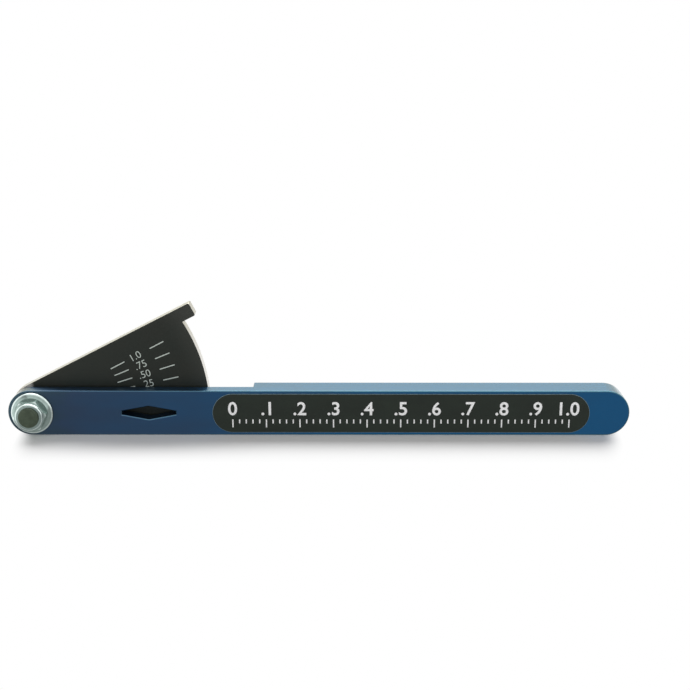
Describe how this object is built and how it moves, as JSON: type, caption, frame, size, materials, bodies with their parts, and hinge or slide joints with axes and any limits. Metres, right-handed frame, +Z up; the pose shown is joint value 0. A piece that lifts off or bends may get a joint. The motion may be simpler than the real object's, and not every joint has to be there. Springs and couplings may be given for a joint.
{
  "type": "chain wear gauge",
  "caption": "Slim blue bar gauge for bicycle chain wear: a pivoting black indicator plate with a scale is read through a window in the bar, with measuring pins on the back.",
  "frame": {"origin": "middle of the bar's long bottom edge, halfway through the bar's thickness", "axes": "+X along the bar, away from the pivot; +Y out of the back, so the labelled face looks along -Y; +Z up, with the bar standing on its long edge"},
  "size_m": [0.1702, 0.0181, 0.0361],
  "materials": {
    "bar_anodised": "deep blue anodised, satin",
    "label_film": "black film, satin",
    "pin_ground": "ground steel",
    "plate_black": "black finished faces, bare bright edges",
    "stud_oxide": "black oxide steel",
    "washer_spring": "spring steel",
    "nut_zinc": "zinc plated, blue-green passivated"
  },
  "bodies": {
    "bar": {"body_bar": "bar_anodised", "front_label": "label_film", "fixed_pin": "pin_ground"},
    "indicator": {"indicator_plate": "plate_black", "measuring_pin": "pin_ground", "pivot_stud": "stud_oxide", "wave_washer": "washer_spring", "flange_nut": "nut_zinc"}
  },
  "joints": [
    {"name": "indicator_pivot", "type": "hinge", "parent": "bar", "child": "indicator", "pos_m": [-0.0784, 0, 0.00635], "axis": [0, 1, 0], "range_deg": [-30, 33]}
  ]
}
